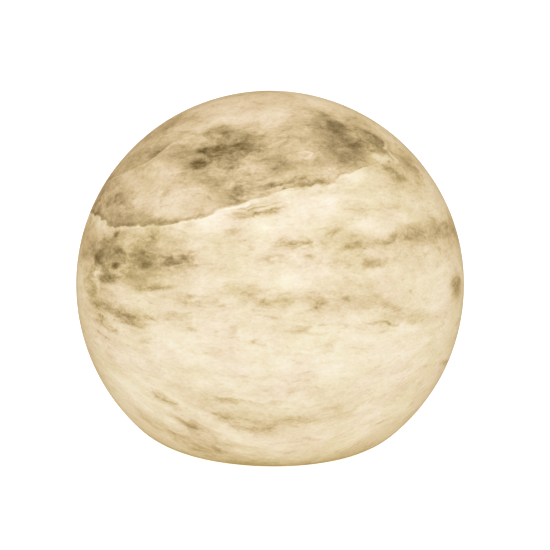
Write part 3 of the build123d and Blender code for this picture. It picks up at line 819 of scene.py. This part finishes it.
def short_vein(graph, at, bumps, broken):
    """The tan zone over the short vein, the dark line along it and the light edge under it."""
    over = over_vein(graph, at, vein_points(SHORT_VEIN, SHORT_VEIN_REAR), bumps)
    shown = graph.band(at.longitude, SHORT_VEIN_START, SHORT_VEIN_END)
    zone = graph.product(graph.band(over, *SHORT_ZONE), shown)
    line = graph.product(graph.band(over, *SHORT_LINE), shown)
    edge = graph.product(graph.band(over, *SHORT_EDGE), broken, shown)
    return zone, line, edge


# The stone itself

def plain_stone(graph, at, noises):
    """The tone of the stone between its features."""
    contrast = graph.math("MULTIPLY_ADD", at.behind, CLOUD_CONTRAST_REAR, CLOUD_CONTRAST)
    clouds = graph.math("MULTIPLY", graph.centred(noises.clouds, 1.0), contrast)
    tone = graph.math("ADD", PLAIN_TONE, clouds)
    for value, weight in (
        (noises.streaks, STREAK_CONTRAST),
        (noises.mottle, MOTTLE_CONTRAST),
        (noises.fine, FINE_CONTRAST),
        (noises.grain, GRAIN_CONTRAST),
    ):
        tone = graph.math("ADD", graph.centred(value, weight), tone)
    return graph.math("MULTIPLY_ADD", graph.step(noises.dashes, *DASH_STEP), DASH_TONE, tone)


def stone_colour(graph, at, tone, zone, foot):
    """The colour of a tone: rosy over the long vein, like honey elsewhere, and more olive at the foot as
    painted shade.
    """
    stone = graph.ramp(tone, [(position, linear(*colour)) for position, colour in STONE_TONES])
    hue = graph.flat_noise(graph.vector("ADD", at.bedded, at.tear), *HUE_NOISE)
    honey = graph.math("ADD", graph.step(zone, *HONEY_STEP), graph.centred(hue, HUE_CONTRAST))
    rose = graph.vector("MULTIPLY", stone, ROSE_TINT)
    stone = graph.mix(honey, rose, graph.vector("MULTIPLY", stone, HONEY_TINT))
    # Painted shade: the colour turns more olive at the foot
    return graph.mix(foot, stone, graph.vector("MULTIPLY", stone, FOOT_SHADE_TINT))


def stone_surface(graph, colour, noises):
    """A glowing, faintly grained surface under a thin coat that darkens towards the outline."""
    graph.glow(colour, GLOW)
    graph.relief(graph.math("ADD", noises.grain, noises.mottle), STONE_RELIEF, STONE_RELIEF_DEPTH)
    return graph.finish(
        graph.vector("MULTIPLY", colour, (STONE_SHARE,) * 3),
        graph.step(noises.mottle, *STONE_ROUGHNESS),
        specular_ior_level=STONE_SPECULAR,
        coat_weight=1.0,
        coat_ior=COAT_IOR,
        coat_roughness=COAT_ROUGHNESS,
        coat_tint=COAT_TINT,
    )


def alabaster():
    """Lit alabaster: cream bands, a tan zone over a jagged vein, olive-brown clouds, fine streaks, and
    painted shade at the foot.
    """
    graph = Graph("alabaster")
    at = StonePlace(graph)
    noises = StoneNoise(graph, at)
    # Painted shade: the stone gets darker towards its foot, where the base inside would block the light
    foot = graph.step(at.height, *FOOT_SHADE_STEP)
    bumps = vein_bumps(graph, at)
    broken = graph.step(noises.mottle, *BREAK_STEP)
    long_zone, long_line, long_edge = long_vein(graph, at, bumps, broken)
    short_zone, short_line, short_edge = short_vein(graph, at, bumps, broken)
    clouds = dark_clouds(graph, at, noises)
    tone = plain_stone(graph, at, noises)
    for feature, weight in (
        (pale_filaments(graph, at, clouds), FILAMENT_TONE),
        (foot, FOOT_SHADE_TONE),
        (long_zone, LONG_ZONE_TONE),
        (short_zone, SHORT_ZONE_TONE),
        (long_line, LONG_LINE_TONE),
        (short_line, SHORT_LINE_TONE),
        (long_edge, LONG_EDGE_TONE),
        (short_edge, SHORT_EDGE_TONE),
        (tan_haze(graph, at, noises), HAZE_TONE),
        (clouds, CLOUD_TONE),
        (dark_spots(graph, at), SPOT_TONE),
        (marks_in(graph, at.torn, STONE_LIGHTS), LIGHT_TONE),
    ):
        tone = graph.math("MULTIPLY_ADD", feature, weight, tone)
    return stone_surface(graph, stone_colour(graph, at, tone, long_zone, foot), noises)


# Metals, plastics and the rest of the light unit: colours in the linear scale, grains per metre

ALUMINIUM = (0.74, 0.74, 0.73, 1.0)
CHAMPAGNE = (0.70, 0.60, 0.45, 1.0)
STEEL = (0.60, 0.60, 0.61, 1.0)
PIPE_CLEAR = (0.90, 0.93, 0.93, 1.0)
FOAM_GREY = (0.10, 0.10, 0.10, 1.0)
WRAP_BLUE = (0.03, 0.10, 0.30, 1.0)
CUP_WHITE = linear(240, 238, 232)
OPAL_SHADE = (0.40, 0.39, 0.36, 1.0)
WARM_LIGHT = linear(255, 232, 190)

# Lit opal: its level at the lower rim, what height, strips and haze add, and its glow
OPAL_RIM = 0.25
OPAL_RISE = 0.55
OPAL_STRIPS = 0.10
OPAL_HAZE = 0.2
OPAL_GLOW = 0.72

# Moulded pieces: colour, roughness, grain and its depth in metres
FINE_GRAIN_DEPTH = 0.00005
COARSE_GRAIN_DEPTH = 0.0001
MOULDED = {
    "silicone": ((0.050, 0.048, 0.045, 1.0), 0.66, 1800.0, FINE_GRAIN_DEPTH),
    "button_plastic": ((0.024, 0.023, 0.022, 1.0), 0.44, 2200.0, FINE_GRAIN_DEPTH),
    "dome_silicone": ((0.50, 0.50, 0.48, 1.0), 0.60, 2600.0, FINE_GRAIN_DEPTH),
    "chip_black": ((0.018, 0.018, 0.019, 1.0), 0.55, 4200.0, FINE_GRAIN_DEPTH),
    "inductor_grey": ((0.045, 0.045, 0.048, 1.0), 0.62, 3200.0, COARSE_GRAIN_DEPTH),
    "connector_ivory": (linear(226, 220, 200), 0.46, 2600.0, FINE_GRAIN_DEPTH),
    "tray_plastic": ((0.36, 0.36, 0.35, 1.0), 0.55, 2600.0, FINE_GRAIN_DEPTH),
    "wire_red": ((0.42, 0.02, 0.015, 1.0), 0.42, 1500.0, FINE_GRAIN_DEPTH),
    "wire_black": ((0.02, 0.02, 0.02, 1.0), 0.42, 1500.0, FINE_GRAIN_DEPTH),
}

# Turned pieces: colour
TURNED = {
    "collar_metal": (ALUMINIUM,),
    "base_metal": (CHAMPAGNE,),
    "ring_metal": (ALUMINIUM,),
}

# Rolled and drawn pieces: colour, and how closely the fine lines lie along each axis
BRUSHED = {
    "can_metal": ((0.72, 0.73, 0.75, 1.0), (1.0, 1.0, 0.05)),
    "socket_steel": (STEEL, (1.0, 0.05, 1.0)),
    "screw_steel": ((0.55, 0.55, 0.56, 1.0), (1.0, 1.0, 0.3)),
    "spring_steel": ((0.58, 0.58, 0.60, 1.0), (1.0, 1.0, 0.08)),
    "post_metal": (ALUMINIUM, (1.0, 1.0, 0.05)),
}

# Circuit boards: solder mask and tracks
BOARDS = {
    "green_board": ((0.02, 0.13, 0.06, 1.0), (0.05, 0.24, 0.11, 1.0)),
    "white_board": (linear(238, 238, 234), linear(222, 218, 206)),
}

# Lit pieces: colour, light, strength and grain
LIT = {
    "indicator": (linear(224, 230, 210), linear(120, 240, 140), 1.2, 900.0),
    "led_phosphor": (linear(246, 220, 130), linear(255, 236, 190), 2.4, 2200.0),
}

# Values between which a finish changes: the middle of a noise, most of it, and the middle of two added
MIDDLE = (0.3, 0.7)
MOST = (0.2, 0.8)
ADDED = (0.6, 1.4)


def turned_metal(name, colour):
    """Metal with the fine rings of a lathe tool about the lamp's axis."""
    graph = Graph(name)
    flat = graph.vector("MULTIPLY", graph.place, (1.0, 1.0, 0.0))
    radius = graph.node("VectorMath", {0: flat}, operation="LENGTH").outputs["Value"]
    height = graph.node("SeparateXYZ", {0: graph.place}).outputs["Z"]
    rings = graph.node("CombineXYZ", {"X": radius, "Y": height}).outputs["Vector"]
    lines = graph.noise(rings, scale=5200.0, detail=2.0)
    smudge = graph.noise(graph.place, scale=70.0, detail=5.0)
    graph.relief(lines, strength=0.10, distance=0.00003)
    level = graph.step(graph.math("ADD", lines, smudge), *ADDED)
    tint = graph.shades(level, colour, darkest=0.86, lightest=1.08)
    return graph.finish(tint, graph.step(smudge, *MIDDLE, low=0.26, high=0.42), metallic=1.0)


def brushed_metal(name, colour, closeness):
    """Rolled or drawn metal with fine lines along one direction."""
    graph = Graph(name)
    lines = graph.noise(graph.vector("MULTIPLY", graph.place, closeness), scale=2600.0, detail=3.0)
    stain = graph.noise(graph.place, scale=160.0, detail=4.0)
    graph.relief(lines, strength=0.08, distance=0.00003)
    level = graph.step(graph.math("ADD", lines, stain), *ADDED)
    tint = graph.shades(level, colour, darkest=0.82, lightest=1.10)
    return graph.finish(tint, graph.step(stain, *MIDDLE, low=0.24, high=0.42), metallic=1.0)


def moulded(name, colour, roughness, grain, depth):
    """Moulded plastic or rubber with a fine spark-eroded grain."""
    graph = Graph(name)
    fine = graph.noise(graph.place, scale=grain, detail=2.0)
    broad = graph.noise(graph.place, scale=90.0, detail=4.0)
    graph.relief(fine, strength=0.25, distance=depth)
    level = graph.step(graph.math("ADD", fine, broad), *ADDED)
    tint = graph.shades(level, colour, darkest=0.84, lightest=1.14)
    return graph.finish(tint, graph.step(broad, *MIDDLE, low=roughness - 0.06, high=roughness + 0.08))


def powder_coat(name, colour):
    """Baked paint with a fine orange peel."""
    graph = Graph(name)
    peel = graph.noise(graph.place, scale=900.0, detail=2.0)
    dust = graph.noise(graph.place, scale=120.0, detail=5.0)
    graph.relief(peel, strength=0.22, distance=0.00008)
    tint = graph.shades(graph.step(dust, *MIDDLE), colour, darkest=0.97, lightest=1.02)
    return graph.finish(tint, graph.step(dust, *MIDDLE, low=0.42, high=0.58))


def circuit_board(name, mask, track):
    """Solder mask over etched tracks."""
    graph = Graph(name)
    blocks = {"Vector": graph.place, "Scale": 420.0}
    cells = graph.node("TexVoronoi", blocks, distance="MANHATTAN", feature="F1").outputs["Distance"]
    weave = graph.noise(graph.place, scale=3000.0, detail=2.0)
    tracks = graph.step(graph.math("PINGPONG", cells, 0.22), start=0.15, end=0.19)
    height = graph.math("ADD", tracks, graph.math("MULTIPLY", weave, 0.3))
    graph.relief(height, strength=0.25, distance=0.00006)
    tint = graph.mix(tracks, graph.shades(weave, mask, darkest=0.85, lightest=1.1), track)
    return graph.finish(tint, graph.step(weave, *MOST, low=0.30, high=0.44))


def foam(name, colour):
    """Open-cell foam, with painted shade in its pores."""
    graph = Graph(name)
    cells = graph.node("TexVoronoi", {"Vector": graph.place, "Scale": 1500.0}).outputs["Distance"]
    graph.relief(cells, strength=0.8, distance=0.0003)
    # Painted shade: darker in the middle of each cell, where the relief dips
    tint = graph.shades(cells, colour, darkest=0.5, lightest=1.3)
    return graph.finish(tint, graph.step(cells, start=0.0, end=0.6, low=0.98, high=0.86))


def shrink_wrap(name, colour):
    """Shrunk film with drawn creases."""
    graph = Graph(name)
    creases = graph.noise(graph.vector("MULTIPLY", graph.place, (1.0, 1.0, 5.0)), scale=160.0, detail=5.0)
    haze = graph.noise(graph.place, scale=500.0, detail=3.0)
    graph.relief(creases, strength=0.35, distance=0.0003)
    tint = graph.shades(graph.step(haze, *MIDDLE), colour, darkest=0.88, lightest=1.12)
    return graph.finish(tint, graph.step(creases, *MIDDLE, low=0.20, high=0.36))


def glowing(name, colour, light, strength, grain):
    """A lit translucent surface, a little uneven."""
    graph = Graph(name)
    uneven = graph.noise(graph.place, scale=grain, detail=4.0)
    level = graph.step(uneven, start=0.25, end=0.75)
    graph.glow(graph.shades(level, light, darkest=0.86), strength)
    graph.relief(uneven, strength=0.05, distance=0.00005)
    tint = graph.shades(level, colour, darkest=0.92)
    return graph.finish(tint, graph.step(uneven, *MOST, low=0.30, high=0.42))


def lit_opal(name):
    """Opal plastic lit from inside, brighter in front of each strip of light sources."""
    graph = Graph(name)
    parts = graph.node("SeparateXYZ", {"Vector": graph.place}).outputs
    around = graph.math("ARCTAN2", parts["Y"], parts["X"])
    strips = graph.math("COSINE", graph.math("MULTIPLY", around, STRIPS))
    rise = graph.step(parts["Z"], OPAL_LOW.z, OPAL_LOW.z + OPAL_DIM_HEIGHT)
    haze = graph.noise(graph.place, scale=90.0, detail=4.0)
    level = graph.math("MULTIPLY_ADD", rise, OPAL_RISE, OPAL_RIM)
    level = graph.math("MULTIPLY_ADD", strips, OPAL_STRIPS, level)
    level = graph.math("ADD", level, graph.centred(haze, OPAL_HAZE))
    graph.glow(graph.shades(level, WARM_LIGHT, darkest=0.62), OPAL_GLOW)
    graph.relief(graph.noise(graph.place, scale=2400.0, detail=2.0), strength=0.06, distance=0.00003)
    tint = graph.shades(haze, OPAL_SHADE, lightest=1.15)
    return graph.finish(tint, graph.step(haze, *MOST, low=0.34, high=0.46))


def clear_plastic(name, colour):
    """Clear moulded plastic with faint flow lines."""
    graph = Graph(name)
    flow = graph.noise(graph.vector("MULTIPLY", graph.place, (3.0, 0.4, 3.0)), scale=500.0, detail=3.0)
    tint = graph.shades(flow, colour, darkest=0.9)
    roughness = graph.step(flow, *MOST, low=0.06, high=0.14)
    return graph.finish(tint, roughness, transmission_weight=0.85, ior=1.49)


def finishes():
    """One material for each slot of the record."""
    made = {
        "alabaster": alabaster(),
        "clear_pipe": clear_plastic("clear_pipe", PIPE_CLEAR),
        "pad_foam": foam("pad_foam", FOAM_GREY),
        "battery_wrap": shrink_wrap("battery_wrap", WRAP_BLUE),
        "cup_paint": powder_coat("cup_paint", CUP_WHITE),
        "opal": lit_opal("opal"),
    }
    for make, slots in (
        (moulded, MOULDED),
        (turned_metal, TURNED),
        (brushed_metal, BRUSHED),
        (circuit_board, BOARDS),
        (glowing, LIT),
    ):
        for slot, values in slots.items():
            made[slot] = make(slot, *values)
    return made


# The orb's mesh

def arc(centre, radius, start, end, steps):
    """Points along an arc, as distance from the axis and height, from start to end degrees."""
    out, up = centre
    angles = [math.radians(start + (end - start) * index / steps) for index in range(steps + 1)]
    return [(out + radius * math.cos(angle), up + radius * math.sin(angle)) for angle in angles]


def edge_arc(radius, edge, depth):
    """The centre and upper angle of an arc that touches a sphere and a level face under it."""
    out = math.sqrt((radius - edge) ** 2 - (depth - edge) ** 2)
    return (out, ORB_CENTRE.z - depth + edge), math.degrees(math.atan2(edge - depth, out))


def orb_profile():
    """The orb's outline from the top down the outside, and back up the inside."""
    foot = ORB_LOW.z
    floor = COLLAR_HIGH.z
    shoulder = COLLAR_LOW.z + COLLAR_FLANGE
    rebate = COLLAR_HIGH.x + GLUE_GAP
    bore = rebate - MOUTH_STEP
    hollow = ORB_RADIUS - ORB_WALL
    middle = (0.0, ORB_CENTRE.z)
    outer, outer_angle = edge_arc(ORB_RADIUS, FOOT_EDGE_RADIUS, ORB_CENTRE.z - foot)
    inner, inner_angle = edge_arc(hollow, HOLLOW_FILLET, ORB_CENTRE.z - floor)
    outside = arc(middle, ORB_RADIUS, 90, outer_angle, OUTSIDE_STEPS)
    outside += arc(outer, FOOT_EDGE_RADIUS, outer_angle, -90, FOOT_EDGE_STEPS)[1:]
    inside = arc((rebate + ARRIS, foot + ARRIS), ARRIS, 270, 180, ARRIS_STEPS)
    inside += [(rebate, shoulder), (bore, shoulder)]
    inside += arc((bore + ARRIS, floor - ARRIS), ARRIS, 180, 90, ARRIS_STEPS)
    inside += arc(inner, HOLLOW_FILLET, -90, inner_angle, HOLLOW_FILLET_STEPS)
    inside += arc(middle, hollow, inner_angle, 90, HOLLOW_STEPS)[1:]
    return outside, inside


def turned_by_hand(point):
    """A point of the outside, moved by the slight waves that hand finishing leaves."""
    out = (point - ORB_CENTRE).normalized()
    return point + out * (TURNING_WAVE * noise.noise(point * TURNING_WAVE_SCALE) - TURNING_WAVE)


def ring_points(radius, height):
    """The points of one ring about the axis, or the single point on it."""
    if radius < AXIS_TOLERANCE:
        return [Vector((0, 0, height))]
    turns = [math.tau * index / STEPS_AROUND for index in range(STEPS_AROUND)]
    return [Vector((radius * math.cos(turn), radius * math.sin(turn), height)) for turn in turns]


def lathe(outside, inside):
    """A mesh turned about the axis from an outline that starts and ends on it."""
    mesh = bmesh.new()
    rings = []
    for index, (radius, height) in enumerate(outside + inside):
        points = ring_points(radius, height)
        if index < len(outside) - 1:
            points = [turned_by_hand(point) for point in points]
        rings.append([mesh.verts.new(point) for point in points])
    for upper, lower in zip(rings, rings[1:]):
        for index in range(STEPS_AROUND):
            after = (index + 1) % STEPS_AROUND
            corners = [upper[index % len(upper)], lower[index % len(lower)]]
            corners += [lower[after % len(lower)], upper[after % len(upper)]]
            mesh.faces.new(dict.fromkeys(corners))
    return mesh


def notch_cutter():
    """The arch that is cut out of the rear of the foot."""
    foot = ORB_LOW.z
    half = NOTCH_WIDTH / 2
    crown = foot + NOTCH_HEIGHT - NOTCH_FILLET
    outline = [(half, foot - NOTCH_HEIGHT)]
    outline += arc((half - NOTCH_FILLET, crown), NOTCH_FILLET, 0, 90, NOTCH_FILLET_STEPS)
    outline += arc((NOTCH_FILLET - half, crown), NOTCH_FILLET, 90, 180, NOTCH_FILLET_STEPS)
    outline += [(-half, foot - NOTCH_HEIGHT)]
    start = COLLAR_HIGH.x - MOUTH_STEP
    mesh = bmesh.new()
    face = mesh.faces.new([mesh.verts.new((x, start, z)) for x, z in outline])
    pulled = bmesh.ops.extrude_face_region(mesh, geom=[face])["geom"]
    moved = [piece for piece in pulled if isinstance(piece, bmesh.types.BMVert)]
    bmesh.ops.translate(mesh, verts=moved, vec=(0, ORB_RADIUS, 0))
    bmesh.ops.recalc_face_normals(mesh, faces=mesh.faces)
    return mesh


def as_object(name, mesh):
    """A mesh as an object in the scene."""
    bmesh.ops.recalc_face_normals(mesh, faces=mesh.faces)
    data = bpy.data.meshes.new(name)
    mesh.to_mesh(data)
    mesh.free()
    made = bpy.data.objects.new(name, data)
    bpy.context.scene.collection.objects.link(made)
    return made


def stone_orb():
    """The turned stone shell with its softened edges and cable notch."""
    orb = as_object("stone_orb", lathe(*orb_profile()))
    cutter = as_object("notch_cutter", notch_cutter())
    cut = orb.modifiers.new("notch", "BOOLEAN")
    cut.operation = "DIFFERENCE"
    cut.object = cutter
    evaluated = orb.evaluated_get(bpy.context.evaluated_depsgraph_get())
    orb.data = bpy.data.meshes.new_from_object(evaluated)
    orb.modifiers.clear()
    bpy.data.objects.remove(cutter)
    orb.data.shade_smooth()
    orb.data.set_sharp_from_angle(angle=SHARP_ANGLE)
    return orb


# Stage

def floor_paint():
    """Pale paint that looks evenly lit, and is clear from below so that the underside can be seen."""
    graph = Graph("floor")
    speckle = graph.noise(graph.place, scale=FLOOR_SPECKLE, detail=2.0)
    graph.finish(graph.mix(speckle, *FLOOR_GREYS), FLOOR_ROUGHNESS)
    direct = graph.node("LightPath").outputs["Is Camera Ray"]
    graph.glow(WHITE, graph.math("MULTIPLY", direct, FLOOR_GLOW))
    under = graph.node("NewGeometry").outputs["Backfacing"]
    clear = graph.node("BsdfTransparent").outputs["BSDF"]
    seen = graph.node("MixShader", {0: under, 1: graph.shader.outputs["BSDF"], 2: clear}).outputs["Shader"]
    graph.put(graph.tree.nodes["Material Output"].inputs["Surface"], seen)
    return graph.material


def make_floor():
    """A plain pale floor."""
    mesh = bmesh.new()
    bmesh.ops.create_grid(mesh, x_segments=2, y_segments=2, size=FLOOR_SIZE)
    floor = as_object("floor", mesh)
    floor.data.materials.append(floor_paint())
    return floor


def make_world():
    """A white backdrop that lights the lamp softly."""
    world = bpy.data.worlds.new("world")
    world.use_nodes = True
    tree = world.node_tree
    back = tree.nodes["Background"]
    path = tree.nodes.new("ShaderNodeLightPath")
    level = tree.nodes.new("ShaderNodeMapRange")
    level.inputs["To Min"].default_value = FILL
    level.inputs["To Max"].default_value = BACKDROP
    tree.links.new(path.outputs["Is Camera Ray"], level.inputs["Value"])
    tree.links.new(level.outputs["Result"], back.inputs["Strength"])
    back.inputs["Color"].default_value = WHITE
    bpy.context.scene.world = world
    bpy.context.scene.view_settings.view_transform = "Standard"


def softbox(name, place, size, power):
    """A large soft light that faces the orb."""
    data = bpy.data.lights.new(name, "AREA")
    data.size = size
    data.energy = power
    light = bpy.data.objects.new(name, data)
    light.location = place
    light.rotation_euler = (ORB_CENTRE - Vector(place)).to_track_quat("-Z", "Y").to_euler()
    bpy.context.scene.collection.objects.link(light)
    return light


def light_underside(floor):
    """A soft light from below that reaches only the base's pieces, through the floor."""
    light = softbox("under", *UNDER_LIGHT)
    lit = bpy.data.collections.new("underside")
    for node in UNDERSIDE:
        lit.objects.link(frame["nodes"][node])
    passed = bpy.data.collections.new("passed")
    passed.objects.link(floor)
    passed.collection_objects[0].light_linking.link_state = "EXCLUDE"
    light.light_linking.receiver_collection = lit
    light.light_linking.blocker_collection = passed


def make_stage():
    """Floor, world, lights and camera."""
    floor = make_floor()
    make_world()
    for name, setting in SOFTBOXES.items():
        softbox(name, *setting)
    light_underside(floor)
    make_camera()


def dress():
    """Gives every node its finish, and stands the stone orb in for its solid."""
    made = finishes()
    for entry in frame["record"]["subparts"]:
        data = frame["nodes"][entry["node"]].data
        data.materials.clear()
        data.materials.append(made[entry["material_slot"]])
    orb = stone_orb()
    orb.data.materials.clear()
    orb.data.materials.append(made["alabaster"])
    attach(orb, "orb")
    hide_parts("alabaster_orb")


dress()
make_stage()
